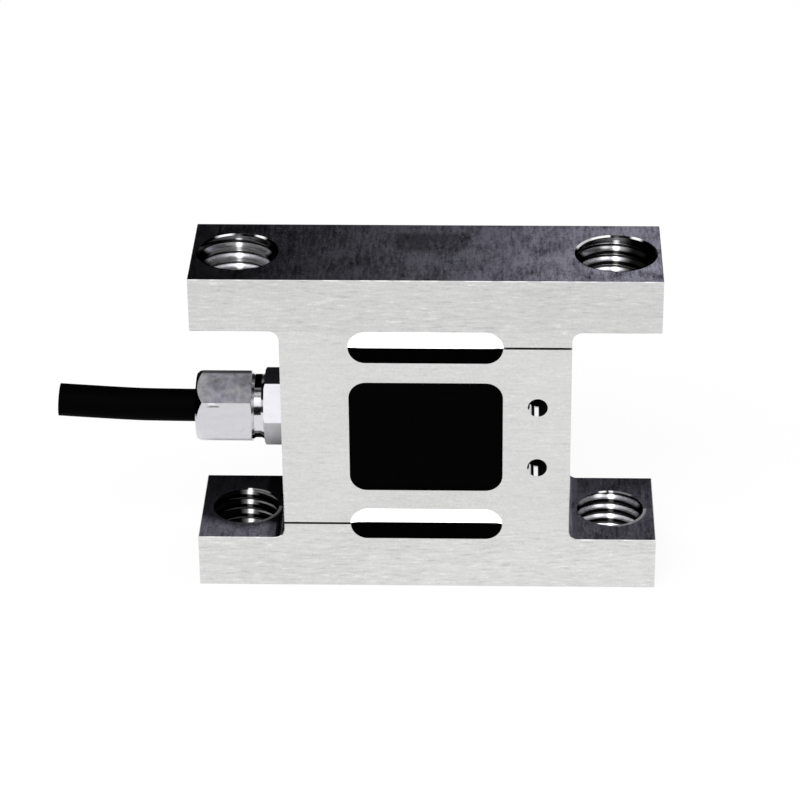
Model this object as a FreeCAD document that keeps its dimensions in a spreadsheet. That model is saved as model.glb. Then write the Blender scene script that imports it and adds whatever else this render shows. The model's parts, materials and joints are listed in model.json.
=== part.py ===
import FreeCAD, Part
import math
import os
import re
import Sketcher

# S type load cell: a one-piece machined flexure with four tapped eye-bolt holes, strain gauges
# potted in its window, and a cable held by a compression gland. Millimetres, +Z up. The origin is
# the centre of the bottom bar's underside, +X runs along the bars, and the front faces -Y.

DIMENSIONS = {
    # flexure
    "body_width": 70.0,
    "body_depth": 19.0,
    "body_height": 52.5,
    "bar_height": 8.5,
    "column_width": 43.5,
    "root_radius": 1.5,
    "edge_break": 0.1,
    # the window, and the relief slots that leave a thin beam above and below it
    "window_width": 23.1,
    "window_height": 18.5,
    "window_radius": 2.6,
    "beam_thickness": 3.3,
    "slot_height": 5.2,
    "slit_width": 0.35,
    # M12 tapped holes, at the diameter of the thread's roots
    "thread_diameter": 12.0,
    "thread_spacing": 56.5,
    "thread_chamfer": 0.2,
    # the pair of small M3 holes beside the window
    "small_hole_diameter": 3.0,
    "small_hole_depth": 7.0,
    "small_hole_offset": 16.75,
    "small_hole_spacing": 10.3,
    # cable port, in the side of the column
    "port_level": 26.25,
    "port_diameter": 8.0,
    "port_depth": 6.4,
    "passage_diameter": 5.4,
    "ring_recess_diameter": 9.7,
    "ring_recess_depth": 0.8,
    # gland, measured outwards from the side of the column
    "shank_length": 5.6,
    "base_flats": 10.3,
    "base_length": 3.0,
    "base_turn": 2.6,
    "neck_diameter": 9.8,
    "neck_end": 4.85,
    "neck_flare": 0.4,
    "spigot_end": 10.7,
    "spigot_diameter": 8.0,
    "seal_start": 6.2,
    "seal_end": 10.9,
    "seal_diameter": 6.8,
    "washer_end": 11.5,
    "washer_diameter": 7.7,
    "nut_end": 13.4,
    "nut_flats": 10.4,
    "nut_turn": 32.1,
    "nut_mouth_diameter": 5.3,
    "nut_nose_length": 1.2,
    "nut_nose_diameter": 9.9,
    "corner_chamfer": 0.18,
    # cable
    "cable_diameter": 5.0,
    "jacket_bore": 3.5,
    "shield_bore": 3.1,
    "core_diameter": 1.2,
    "conductor_diameter": 0.6,
    "core_offset": 0.605,
    # gauges and the terminal board, in the window
    "gauge_length": 5.0,
    "gauge_width": 4.0,
    "gauge_thickness": 0.15,
    "gauge_offset": 6.3,
    "lead_width": 0.22,
    "lead_reach": 3.0,
    "lead_lap": 0.85,
    "lead_clearance": 0.06,
    "board_length": 11.0,
    "board_height": 12.0,
    "board_thickness": 0.8,
    "board_left": -3.5,
    "board_front": 1.2,
    "resistor_length": 2.0,
    "resistor_width": 1.25,
    "resistor_thickness": 0.55,
    "resistor_spacing": 3.2,
    "resistor_offset": 4.0,
    "pad_offset": -2.2,
    "pad_pitch": 2.2,
    "joint_radius": 1.0,
    "lead_joint_radius": 0.45,
    "joint_taper": 0.45,
    "insulation_end": -3.4,
    "potting_recess": 0.3,
}

# The cable's centre line, from inside the window to its cut end.
CABLE_ROUTE = [(-11.0, 0.0, 26.25), (-40.5, 0.0, 26.25), (-48.5, 0.0, 26.63), (-56.3, 0.0, 27.15)]

# Where the outer cores leave the cable's lay inside the window, where they straighten at the
# board, and how much nearer to the board the inner cores do so.
FAN_START = -8.9
FAN_END = -5.6
FAN_START_SHIFT = 1.0
FAN_END_SHIFT = 0.6
FAN_CORNERS = 2

# Each core's place in the square lay (side, lift), and its pad's place on the board, in pitches.
OUTER_PAD = 1.5
CORES = {
    "red": (1, 1, 1.5),
    "black": (-1, 1, 0.5),
    "white": (-1, -1, -0.5),
    "green": (1, -1, -1.5),
}

document = FreeCAD.newDocument("s_type_load_cell")
sheet = document.addObject("Spreadsheet::Sheet", "Dimensions")
for row, (alias, number) in enumerate(DIMENSIONS.items(), 1):
    sheet.set(f"A{row}", alias)
    sheet.set(f"B{row}", str(number))
    sheet.setAlias(f"B{row}", alias)
document.recompute()


# --- expressions, sketches and features ----------------------------------------------------------

def bound(expression):
    """The expression with each cell's name pointed at the sheet."""
    def point_at_sheet(word):
        return f"{sheet.Name}.{word.group()}" if word.group() in DIMENSIONS else word.group()
    return re.sub(r"[a-z_]+", point_at_sheet, expression)


def value(expression):
    """The expression's number now."""
    return float(sheet.evalExpression(bound(expression)))


def bind(item, **sizes):
    """Bind an object's properties to expressions. A double underscore stands for a dot."""
    for name, expression in sizes.items():
        item.setExpression(name.replace("__", "."), bound(expression))
    return item


def new_body(label):
    body = document.addObject("PartDesign::Body", label)
    body.Label = label
    return body


def new_sketch(body, name, role, right="0", up="0", out="0"):
    """A sketch on one of the body's origin planes, its own origin moved in the plane and off it."""
    sketch = body.newObject("Sketcher::SketchObject", name)
    plane = next(item for item in body.Origin.OriginFeatures if item.Role == role)
    sketch.AttachmentSupport = [(plane, "")]
    sketch.MapMode = "FlatFace"
    bind(
        sketch,
        AttachmentOffset__Base__x=right,
        AttachmentOffset__Base__y=up,
        AttachmentOffset__Base__z=out,
    )
    return sketch


def constrain(sketch, kind, places, expression):
    number = sketch.addConstraint(Sketcher.Constraint(kind, *places, value(expression)))
    sketch.setExpression(f"Constraints[{number}]", bound(expression))


def locate(sketch, curve, point, right, up):
    """Hold one point of a curve at a distance from the sketch's origin."""
    constrain(sketch, "DistanceX", (-1, 1, curve, point), right)
    constrain(sketch, "DistanceY", (-1, 1, curve, point), up)


def draw_polygon(sketch, corners):
    """A closed outline through corners given as pairs of expressions."""
    points = [FreeCAD.Vector(value(right), value(up), 0) for right, up in corners]
    count = len(points)
    first = sketch.GeometryCount
    for side in range(count):
        sketch.addGeometry(Part.LineSegment(points[side], points[(side + 1) % count]))
    for side in range(count):
        following = first + (side + 1) % count
        sketch.addConstraint(Sketcher.Constraint("Coincident", first + side, 2, following, 1))
        locate(sketch, first + side, 1, *corners[side])


def draw_rectangle(sketch, left, right, low, high):
    draw_polygon(sketch, [(left, low), (right, low), (right, high), (left, high)])


def draw_circle(sketch, right, up, radius):
    centre = FreeCAD.Vector(value(right), value(up), 0)
    curve = sketch.addGeometry(Part.Circle(centre, FreeCAD.Vector(0, 0, 1), value(radius)))
    locate(sketch, curve, 3, right, up)
    constrain(sketch, "Radius", (curve,), radius)


def draw_obround(sketch, reach, level, radius):
    """A slot with round ends, whose end centres lie at plus and minus the reach."""
    half_turn = math.pi / 2
    ends = []
    for side in (-1, 1):
        centre = FreeCAD.Vector(side * value(reach), value(level), 0)
        circle = Part.Circle(centre, FreeCAD.Vector(0, 0, 1), value(radius))
        start = -half_turn if side > 0 else half_turn
        ends.append(sketch.addGeometry(Part.ArcOfCircle(circle, start, start + math.pi)))
    left, right = ends
    high = value(level) + value(radius)
    low = value(level) - value(radius)
    across = FreeCAD.Vector(value(reach), 0, 0)
    rise = FreeCAD.Vector(0, high, 0)
    fall = FreeCAD.Vector(0, low, 0)
    top = sketch.addGeometry(Part.LineSegment(rise + across, rise - across))
    bottom = sketch.addGeometry(Part.LineSegment(fall - across, fall + across))
    for first, first_end, second, second_end in (
        (right, 2, top, 1), (top, 2, left, 1), (left, 2, bottom, 1), (bottom, 2, right, 1),
    ):
        sketch.addConstraint(
            Sketcher.Constraint("Tangent", first, first_end, second, second_end)
        )
    sketch.addConstraint(Sketcher.Constraint("Equal", left, right))
    locate(sketch, left, 3, f"-({reach})", level)
    locate(sketch, right, 3, reach, level)
    constrain(sketch, "Radius", (left,), radius)


def draw_hexagon(sketch, flats, turn):
    """A hexagon about the sketch's origin, its first corner turned from the sketch's X axis."""
    radius = f"{flats} / (2 * cos(30))"
    corners = []
    for corner in range(6):
        angle = f"({turn} + {60 * corner})"
        corners.append((f"{radius} * cos{angle}", f"{radius} * sin{angle}"))
    draw_polygon(sketch, corners)


def add_feature(body, kind, name, sketch, **sizes):
    """A sketched feature, checked for having changed the body's volume."""
    before = body.Shape.Volume if body.Tip else 0.0
    feature = body.newObject(f"PartDesign::{kind}", name)
    feature.Profile = sketch
    bind(feature, **sizes)
    document.recompute()
    if abs(feature.Shape.Volume - before) < 1e-3:
        raise RuntimeError(f"{name} changed nothing on {body.Label}")
    return feature


def pad(body, name, sketch, length, symmetric=False):
    feature = add_feature(body, "Pad", name, sketch, Length=length)
    feature.SideType = "Symmetric" if symmetric else "One side"
    document.recompute()
    return feature


def cut_through(body, name, sketch):
    """Cut the sketch through the whole body, both ways."""
    feature = body.newObject("PartDesign::Pocket", name)
    feature.Profile = sketch
    feature.SideType = "Symmetric"
    feature.Type = "ThroughAll"
    before = sketch.getParentGeoFeatureGroup().Shape.Volume
    document.recompute()
    if feature.Shape.Volume > before - 1e-3:
        raise RuntimeError(f"{name} cut nothing from {body.Label}")
    return feature


def revolve(body, kind, name, sketch):
    """Turn the sketch a full turn about its own X axis, as a Revolution or a Groove."""
    before = body.Shape.Volume if body.Tip else 0.0
    feature = body.newObject(f"PartDesign::{kind}", name)
    feature.Profile = sketch
    feature.ReferenceAxis = (sketch, ["H_Axis"])
    feature.Angle = 360
    document.recompute()
    if abs(feature.Shape.Volume - before) < 1e-3:
        raise RuntimeError(f"{name} changed nothing on {body.Label}")
    return feature


def edges_where(shape, test):
    """Names of the edges whose middle passes the test."""
    names = []
    for number, edge in enumerate(shape.Edges, 1):
        middle = edge.valueAt((edge.FirstParameter + edge.LastParameter) / 2)
        if test(middle, edge):
            names.append(f"Edge{number}")
    return names


def dress(body, kind, name, size, test):
    """A fillet or a chamfer on the edges of the body's last feature that pass the test."""
    base = body.Tip
    feature = body.newObject(f"PartDesign::{kind}", name)
    feature.Base = (base, edges_where(base.Shape, test))
    bind(feature, **{"Radius" if kind == "Fillet" else "Size": size})
    document.recompute()
    return feature


def near(first, second):
    return abs(first - second) < 1e-4


# --- flexure -------------------------------------------------------------------------------------

def build_flexure():
    body = new_body("flexure_body")

    profile = new_sketch(body, "s_profile", "XZ_Plane")
    end, side = "body_width / 2", "column_width / 2"
    shelf, soffit = "bar_height", "body_height - bar_height"
    draw_polygon(profile, [
        (f"-{end}", "0"), (end, "0"), (end, shelf), (side, shelf), (side, soffit), (end, soffit),
        (end, "body_height"), (f"-{end}", "body_height"), (f"-{end}", soffit),
        (f"-{side}", soffit), (f"-{side}", shelf), (f"-{end}", shelf),
    ])
    pad(body, "blank", profile, "body_depth", symmetric=True)

    column_side = value("column_width / 2")
    face = value("body_depth / 2")
    bar_end = value("body_width / 2")
    dress(body, "Fillet", "column_roots", "root_radius",
          lambda middle, edge: near(middle.y, 0) and near(abs(middle.x), column_side))
    dress(body, "Chamfer", "edge_breaks", "edge_break",
          lambda middle, edge: near(abs(middle.y), face)
          or (near(middle.y, 0) and near(abs(middle.x), bar_end)))

    window = new_sketch(body, "window_outline", "XZ_Plane", up="body_height / 2")
    draw_rectangle(window, "-window_width / 2", "window_width / 2",
                   "-window_height / 2", "window_height / 2")
    cut_through(body, "window", window)
    window_side = value("window_width / 2")
    window_top = value("window_height / 2")
    middle_level = value("body_height / 2")
    dress(body, "Fillet", "window_corners", "window_radius",
          lambda middle, edge: near(middle.y, 0) and near(abs(middle.x), window_side)
          and near(abs(middle.z - middle_level), window_top))

    slots = new_sketch(body, "slot_outlines", "XZ_Plane", up="body_height / 2")
    level = "(window_height / 2 + beam_thickness + slot_height / 2)"
    for sign in ("", "-"):
        draw_obround(slots, "window_width / 2 - slot_height / 2", sign + level, "slot_height / 2")
    cut_through(body, "relief_slots", slots)

    # One slit opens the upper slot to the right side, the other opens the lower slot to the left.
    slits = new_sketch(body, "slit_outlines", "XZ_Plane", up="body_height / 2")
    past_side = "(column_width / 2 + 1)"
    in_slot = "(window_width / 2 - slot_height / 2)"
    draw_rectangle(slits, in_slot, past_side,
                   f"{level} - slit_width / 2", f"{level} + slit_width / 2")
    draw_rectangle(slits, f"-{past_side}", f"-{in_slot}",
                   f"-{level} - slit_width / 2", f"-{level} + slit_width / 2")
    cut_through(body, "slits", slits)

    tapped = new_sketch(body, "tapped_hole_centres", "XY_Plane")
    for sign in ("-", ""):
        draw_circle(tapped, f"{sign}thread_spacing / 2", "0", "thread_diameter / 2")
    cut_through(body, "tapped_holes", tapped)
    thread_radius = value("thread_diameter / 2")
    top = value("body_height")
    dress(body, "Chamfer", "thread_lead_ins", "thread_chamfer",
          lambda middle, edge: (near(middle.z, 0) or near(middle.z, top))
          and edge.Curve.TypeId == "Part::GeomCircle" and near(edge.Curve.Radius, thread_radius))

    small = new_sketch(body, "small_hole_centres", "XZ_Plane", right="small_hole_offset",
                       up="body_height / 2", out="body_depth / 2")
    for sign in ("-", ""):
        draw_circle(small, "0", f"{sign}small_hole_spacing / 2", "small_hole_diameter / 2")
    document.recompute()
    holes = body.newObject("PartDesign::Hole", "small_holes")
    holes.Profile = small
    holes.DepthType = "Dimension"
    holes.DrillPoint = "Angled"
    holes.DrillPointAngle = 118
    bind(holes, Diameter="small_hole_diameter", Depth="small_hole_depth")
    document.recompute()

    port = new_sketch(body, "port_profile", "XZ_Plane", right="-column_width / 2", up="port_level")
    inner_end = "(column_width - window_width) / 2 + 1"
    draw_polygon(port, [
        ("0", "0"), ("0", "ring_recess_diameter / 2"),
        ("ring_recess_depth", "ring_recess_diameter / 2"),
        ("ring_recess_depth", "port_diameter / 2"),
        ("port_depth", "port_diameter / 2"), ("port_depth", "passage_diameter / 2"),
        (inner_end, "passage_diameter / 2"), (inner_end, "0"),
    ])
    revolve(body, "Groove", "cable_port", port)
    return body


# --- gland, each piece along its own X axis, which points out of the column's left side -----------

def new_gland_body(label):
    body = new_body(label)
    body.Placement = FreeCAD.Placement(
        FreeCAD.Vector(), FreeCAD.Rotation(FreeCAD.Vector(0, 0, 1), 180)
    )
    bind(body, Placement__Base__x="-column_width / 2", Placement__Base__z="port_level")
    return body


def build_gland_body():
    body = new_gland_body("gland_body")

    # The turned core: shank, neck with a flare at each end, and the spigot inside the nut.
    turned = new_sketch(body, "turned_profile", "XZ_Plane")
    bore, neck, spigot = "passage_diameter / 2", "neck_diameter / 2", "spigot_diameter / 2"
    flared = f"{neck} + neck_flare / 2"
    draw_polygon(turned, [
        ("-shank_length", bore), ("-shank_length", spigot), ("0", spigot), ("0", flared),
        ("base_length", flared), ("base_length + neck_flare", neck),
        ("neck_end - neck_flare", neck), ("neck_end", flared), ("neck_end", spigot),
        ("spigot_end", spigot), ("spigot_end", "seal_diameter / 2"),
        ("seal_start", "seal_diameter / 2"), ("seal_start", bore),
    ])
    revolve(body, "Revolution", "turned_core", turned)

    flats = new_sketch(body, "base_hexagon", "YZ_Plane")
    draw_hexagon(flats, "base_flats", "base_turn")
    draw_circle(flats, "0", "0", neck)
    pad(body, "base", flats, "base_length")

    corner = "base_flats / (2 * cos(30))"
    chamfers = new_sketch(body, "base_corner_chamfers", "XZ_Plane")
    for face, inward in (("0", "1"), ("base_length", "-1")):
        draw_polygon(chamfers, [
            (face, f"{corner} - 2 * corner_chamfer"), (face, f"{corner} + 1"),
            (f"{face} + {inward} * (corner_chamfer + 0.5)", f"{corner} + 1"),
        ])
    revolve(body, "Groove", "base_corners", chamfers)
    return body


def build_gland_nut():
    body = new_gland_body("gland_nut")
    flats = new_sketch(body, "nut_hexagon", "YZ_Plane", out="neck_end")
    draw_hexagon(flats, "nut_flats", "nut_turn")
    pad(body, "nut", flats, "nut_end - neck_end")

    # The nose is turned to a cone that runs up each flat in a curve.
    corner = "nut_flats / (2 * cos(30))"
    nose = new_sketch(body, "nose_profile", "XZ_Plane")
    draw_polygon(nose, [
        ("nut_end", "nut_nose_diameter / 2"), ("nut_end", f"{corner} + 0.3"),
        ("nut_end - nut_nose_length * 1.2", f"{corner} + 0.3"),
    ])
    draw_polygon(nose, [
        ("neck_end", f"{corner} - 2 * corner_chamfer"), ("neck_end", f"{corner} + 1"),
        ("neck_end + corner_chamfer + 0.5", f"{corner} + 1"),
    ])
    revolve(body, "Groove", "nose", nose)

    bore = new_sketch(body, "nut_bore_profile", "XZ_Plane")
    draw_polygon(bore, [
        ("neck_end", "0"), ("neck_end", "spigot_diameter / 2"),
        ("washer_end", "spigot_diameter / 2"), ("washer_end", "nut_mouth_diameter / 2"),
        ("nut_end", "nut_mouth_diameter / 2"), ("nut_end", "0"),
    ])
    revolve(body, "Groove", "nut_bore", bore)
    return body


def build_turned_ring(label, start, end, bore, outside, bevel=None):
    """A ring of plain section about the gland's axis, its four edges bevelled if a size is given."""
    body = new_gland_body(label)
    section = new_sketch(body, "section", "XZ_Plane")
    draw_rectangle(section, start, end, bore, outside)
    revolve(body, "Revolution", "ring", section)
    if bevel:
        dress(body, "Chamfer", "bevels", bevel, lambda middle, edge: edge.isClosed())
    return body


def build_gland_rings():
    # The bush is squeezed on to the cable's jacket.
    build_turned_ring("gland_seal", "seal_start", "seal_end",
                      "cable_diameter / 2", "seal_diameter / 2")
    build_turned_ring("gland_washer", "seal_end", "washer_end",
                      "nut_mouth_diameter / 2", "washer_diameter / 2")
    build_turned_ring("gland_o_ring", "-ring_recess_depth", "0", "port_diameter / 2",
                      "ring_recess_diameter / 2", "ring_recess_depth * 0.3")


# --- cable: straight runs joined by tangent arcs, or by mitres where the compound hides them -----

ARC_SHARE = 0.45
MITRED_JOINTS = 1


def route_wire(points, name, stripped=0.0, mitres=0):
    """A wire through the points, with each corner turned by an arc as large as its runs allow.

    The wire starts a stripped length along the first run, and its first corners may be mitres.
    """
    corners = [FreeCAD.Vector(*point) for point in points]
    edges = []
    radii = []
    start = corners[0] + (corners[1] - corners[0]).normalize() * stripped
    for number, (before, corner, after) in enumerate(zip(corners, corners[1:], corners[2:])):
        if number < mitres:
            edges.append(Part.LineSegment(start, corner).toShape())
            start = corner
            continue
        back = before - corner
        ahead = after - corner
        reach = ARC_SHARE * min(back.Length, ahead.Length)
        half_turn = (math.pi - back.getAngle(ahead)) / 2
        radius = reach / math.tan(half_turn)
        entry = corner + back.normalize() * reach
        leave = corner + ahead.normalize() * reach
        inward = (back + ahead).normalize()
        crown = corner + inward * (radius / math.cos(half_turn) - radius)
        edges.append(Part.LineSegment(start, entry).toShape())
        edges.append(Part.Arc(entry, crown, leave).toShape())
        radii.append(radius)
        start = leave
    edges.append(Part.LineSegment(start, corners[-1]).toShape())
    print(name, "radii", " ".join(f"{radius:.1f}" for radius in radii))
    return Part.Wire(edges)


def round_section(wire, diameter):
    """A circle square to the wire at its start."""
    first = wire.Edges[0]
    circle = Part.Circle(first.valueAt(first.FirstParameter),
                         first.tangentAt(first.FirstParameter), diameter / 2)
    return Part.Wire(circle.toShape())


def square_section(start, width):
    """A square about the start of a wire that sets out along X."""
    half = width / 2
    corners = [(-half, -half), (half, -half), (half, half), (-half, half), (-half, -half)]
    return Part.makePolygon([start + FreeCAD.Vector(0, *corner) for corner in corners])


def swept(wire, section):
    return Part.Solid(wire.makePipeShell([section], True, False, MITRED_JOINTS))


def tube(wire, outside, bore=0.0):
    """A solid rod, or a tube if a bore is given, along the wire."""
    shape = swept(wire, round_section(wire, outside))
    if bore:
        shape = shape.cut(swept(wire, round_section(wire, bore)))
    section = math.pi / 4 * (outside**2 - bore**2)
    if abs(shape.Volume / (section * wire.Length) - 1) > 0.005:
        raise RuntimeError("a tube's volume differs from its section times its length")
    return shape


def add_shape(label, shape):
    """A sub-part whose shape is made by the functions above."""
    item = document.addObject("Part::Feature", label)
    item.Label = label
    item.Shape = shape
    item.Placement = FreeCAD.Placement()
    return item


def core_route(side, lift, pad_place):
    """The route of one core, from its pad on the board through the cable to the cut end."""
    offset = value("core_offset")
    level = value("port_level")
    pad_side = value("board_front - core_diameter / 2")
    pad_level = level + pad_place * value("pad_pitch")
    inwards = OUTER_PAD - abs(pad_place)
    lay = [(x, y + side * offset, z + lift * offset) for x, y, z in CABLE_ROUTE[1:]]
    return [
        (value("pad_offset + conductor_diameter / 2"), pad_side, pad_level),
        (FAN_END + inwards * FAN_END_SHIFT, pad_side, pad_level),
        (FAN_START + inwards * FAN_START_SHIFT, side * offset, level + lift * offset),
    ] + lay


def build_cable():
    centre_line = route_wire(CABLE_ROUTE, "cable")
    outside, bore = value("cable_diameter"), value("jacket_bore")
    add_shape("cable_jacket", tube(centre_line, outside, bore))
    add_shape("cable_shield", tube(centre_line, bore, value("shield_bore")))
    insulation, conductor = value("core_diameter"), value("conductor_diameter")
    conductors = []
    for colour, (side, lift, pad_place) in CORES.items():
        route = core_route(side, lift, pad_place)
        bared = route[0][0] - value("insulation_end")
        covered = route_wire(route, f"core_{colour}", bared, FAN_CORNERS)
        add_shape(f"core_{colour}", tube(covered, insulation, conductor))
        bare = route_wire(route, f"conductor_{colour}", mitres=FAN_CORNERS)
        conductors.append(tube(bare, conductor))
    return add_shape("core_conductors", Part.Compound(conductors))


# --- gauges, terminal board and potting ----------------------------------------------------------

def build_box(label, left, front, low, length, depth, height):
    box = document.addObject("Part::Box", label)
    box.Label = label
    return bind(box, Length=length, Width=depth, Height=height, Placement__Base__x=left,
                Placement__Base__y=front, Placement__Base__z=low)


def build_gauges():
    """Four gauges, bonded where the two thin beams bend most."""
    board_middle = "(board_front + board_thickness / 2)"
    gauges = []
    for height, low in (("upper", "body_height / 2 + window_height / 2 - gauge_thickness"),
                        ("lower", "body_height / 2 - window_height / 2")):
        for hand, sign in (("left", "-"), ("right", "")):
            gauges.append(build_box(
                f"strain_gauge_{height}_{hand}", f"{sign}gauge_offset - gauge_length / 2",
                f"{board_middle} - gauge_width / 2", low,
                "gauge_length", "gauge_width", "gauge_thickness",
            ))
    return gauges


def build_board():
    board = build_box("terminal_board", "board_left", "board_front",
                      "port_level - board_height / 2",
                      "board_length", "board_thickness", "board_height")
    resistors = []
    for place, label in enumerate(("span_resistor_lower", "zero_resistor", "span_resistor_upper")):
        resistors.append(build_box(
            label, "resistor_offset - resistor_length / 2", "board_front - resistor_thickness",
            f"port_level + {place - 1} * resistor_spacing - resistor_width / 2",
            "resistor_length", "resistor_thickness", "resistor_width",
        ))
    return board, resistors


def lead_places():
    """Each gauge lead: its hand, its side of the board, and whether it is above or below."""
    return [(hand, face, rise) for rise in (1, -1) for hand in (-1, 1) for face in (-1, 1)]


def lead_side(face):
    """The lead's distance in depth: it lies on the front or the back of the board."""
    off_board = value("lead_width / 2 + lead_clearance")
    if face < 0:
        return value("board_front") - off_board
    return value("board_front + board_thickness") + off_board


def build_leads():
    """Eight fine leads, each from a gauge's inner end to the edge of the board."""
    middle_level = value("body_height / 2")
    wall = value("window_height - lead_width") / 2
    gauge_end = value("gauge_offset - gauge_length / 2")
    corner = gauge_end - value("lead_reach")
    end_level = value("board_height / 2 - lead_lap")
    leads = []
    for hand, face, rise in lead_places():
        side = lead_side(face)
        route = [
            (hand * gauge_end, side, middle_level + rise * wall),
            (hand * corner, side, middle_level + rise * wall),
            (hand * corner, side, middle_level + rise * end_level),
        ]
        line = route_wire(route, "lead", mitres=1)
        leads.append(swept(line, square_section(FreeCAD.Vector(*route[0]), value("lead_width"))))
    return add_shape("gauge_leads", Part.Compound(leads))


def build_joint(name, radius, across, side, level, face):
    """A cone of solder on the front (-1) or the back (1) of the board."""
    cone = document.addObject("Part::Cone", name)
    cone.Placement = FreeCAD.Placement(
        FreeCAD.Vector(), FreeCAD.Rotation(FreeCAD.Vector(1, 0, 0), -90 * face)
    )
    return bind(cone, Radius1=radius, Radius2=f"{radius} * joint_taper", Height=radius,
                Placement__Base__x=across,
                Placement__Base__y=side, Placement__Base__z=level)


def build_solder(conductors, leads):
    """The soldered joints of the cores and the gauge leads, shaped round the wires in them."""
    cones = []
    for colour, (_, _, pad_place) in CORES.items():
        cones.append(build_joint(f"core_joint_{colour}", "joint_radius", "pad_offset",
                                "board_front", f"port_level + {pad_place} * pad_pitch", -1))
    corner = "(gauge_offset - gauge_length / 2 - lead_reach)"
    for number, (hand, face, rise) in enumerate(lead_places()):
        side = "board_front" if face < 0 else "board_front + board_thickness"
        cones.append(build_joint(
            f"lead_joint_{number}", "lead_joint_radius", f"{hand} * {corner}", side,
            f"body_height / 2 + {rise} * (board_height / 2 - lead_lap)", face,
        ))
    blobs = document.addObject("Part::Compound", "solder_blobs")
    blobs.Links = cones
    wires = document.addObject("Part::Compound", "soldered_wires")
    wires.Links = [conductors, leads]
    solder = document.addObject("Part::Cut", "solder_joints")
    solder.Label = "solder_joints"
    solder.Base = blobs
    solder.Tool = wires
    return solder


def build_potting(embedded):
    """The compound that fills the window, cast round everything that is in it."""
    block = document.addObject("PartDesign::Body", "potting_block")
    outline = new_sketch(block, "potting_outline", "XZ_Plane", up="body_height / 2")
    draw_rectangle(outline, "-window_width / 2", "window_width / 2",
                   "-window_height / 2", "window_height / 2")
    pad(block, "fill", outline, "body_depth - 2 * potting_recess", symmetric=True)
    dress(block, "Fillet", "fill_corners", "window_radius", lambda middle, edge: near(middle.y, 0))
    potting = block
    for piece in embedded:
        rest = document.addObject("Part::Cut", f"fill_round_{piece.Label}")
        rest.Base = potting
        rest.Tool = piece
        potting = rest
    potting.Label = "cavity_potting"
    return potting


def build_electrics():
    conductors = build_cable()
    gauges = build_gauges()
    board, resistors = build_board()
    leads = build_leads()
    solder = build_solder(conductors, leads)
    document.recompute()
    cable_parts = [document.getObject(name) for name in ("cable_jacket", "cable_shield")]
    cores = [document.getObject(f"core_{colour}") for colour in CORES]
    build_potting(
        gauges + resistors + cable_parts + cores + [board, leads, conductors, solder]
    )


# --- build, check and write ----------------------------------------------------------------------

NODES = (
    ["flexure_body", "cavity_potting", "terminal_board", "solder_joints", "gauge_leads"]
    + [f"strain_gauge_{height}_{hand}" for height in ("upper", "lower") for hand in ("left", "right")]
    + ["span_resistor_upper", "zero_resistor", "span_resistor_lower"]
    + ["gland_body", "gland_nut", "gland_seal", "gland_washer", "gland_o_ring"]
    + ["cable_jacket", "cable_shield", "core_conductors"]
    + [f"core_{colour}" for colour in CORES]
)


def check_document():
    for item in document.Objects:
        if "Invalid" in item.State or "Error" in item.State:
            raise RuntimeError(f"{item.Label} failed: {item.State}")
    for node in NODES:
        shape = document.getObjectsByLabel(node)[0].Shape
        if shape.isNull() or not shape.isValid() or shape.Volume <= 0:
            raise RuntimeError(f"{node} has no sound shape")


def write_nodes():
    os.makedirs("parts", exist_ok=True)
    for node in NODES:
        shape = document.getObjectsByLabel(node)[0].Shape
        shape.exportStep(f"parts/{node}.step")
        print(f"{node}: {shape.Volume:.2f} mm3, {len(shape.Solids)} solid(s)")


build_flexure()
build_gland_body()
build_gland_nut()
build_gland_rings()
build_electrics()
document.recompute()
check_document()
write_nodes()
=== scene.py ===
import json
import math

import bmesh
import bpy
from bpy.props import FloatProperty, FloatVectorProperty, IntProperty, PointerProperty
from mathutils import Matrix, Vector, noise


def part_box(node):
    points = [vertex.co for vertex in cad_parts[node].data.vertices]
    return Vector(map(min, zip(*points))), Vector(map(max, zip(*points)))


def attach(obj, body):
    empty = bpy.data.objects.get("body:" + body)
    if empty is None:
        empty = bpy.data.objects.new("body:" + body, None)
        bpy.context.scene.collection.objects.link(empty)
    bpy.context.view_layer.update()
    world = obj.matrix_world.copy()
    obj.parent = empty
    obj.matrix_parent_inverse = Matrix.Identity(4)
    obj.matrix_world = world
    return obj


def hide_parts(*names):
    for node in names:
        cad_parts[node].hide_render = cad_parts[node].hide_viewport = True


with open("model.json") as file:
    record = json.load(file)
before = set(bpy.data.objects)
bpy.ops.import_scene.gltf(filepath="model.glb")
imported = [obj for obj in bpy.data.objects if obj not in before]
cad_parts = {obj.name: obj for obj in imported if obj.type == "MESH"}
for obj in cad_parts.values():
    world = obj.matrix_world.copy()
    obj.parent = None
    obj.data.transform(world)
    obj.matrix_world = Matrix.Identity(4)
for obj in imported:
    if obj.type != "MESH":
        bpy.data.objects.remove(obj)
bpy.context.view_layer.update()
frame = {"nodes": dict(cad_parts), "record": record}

bl_info = {
    "name": "S type load cell",
    "version": (1, 0, 0),
    "blender": (4, 5, 0),
    "location": "3D View > Sidebar > Load cell",
    "description": "Dresses the machined load cell, its gland, its cable and its potted window",
    "category": "Object",
}

# Everything is in metres, in the frame of the solids: +Z up, +X along the bars, the front faces -Y.

MM = 0.001
BODY = "root"
FULL_TURN = 2 * math.pi
SMOOTH_BELOW = math.radians(35)

# The cable's centre line, from inside the window to its cut end.
CABLE_ROUTE = [
    (-0.011, 0.0, 0.02625),
    (-0.0405, 0.0, 0.02625),
    (-0.0485, 0.0, 0.02663),
    (-0.0563, 0.0, 0.02715),
]

BODY_LOW, BODY_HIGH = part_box("flexure_body")
NUT_LOW, NUT_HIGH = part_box("gland_nut")
FILL_LOW, FILL_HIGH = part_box("cavity_potting")

MIDDLE_HEIGHT = (BODY_LOW.z + BODY_HIGH.z) / 2
HALF_DEPTH = BODY_HIGH.y

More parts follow.
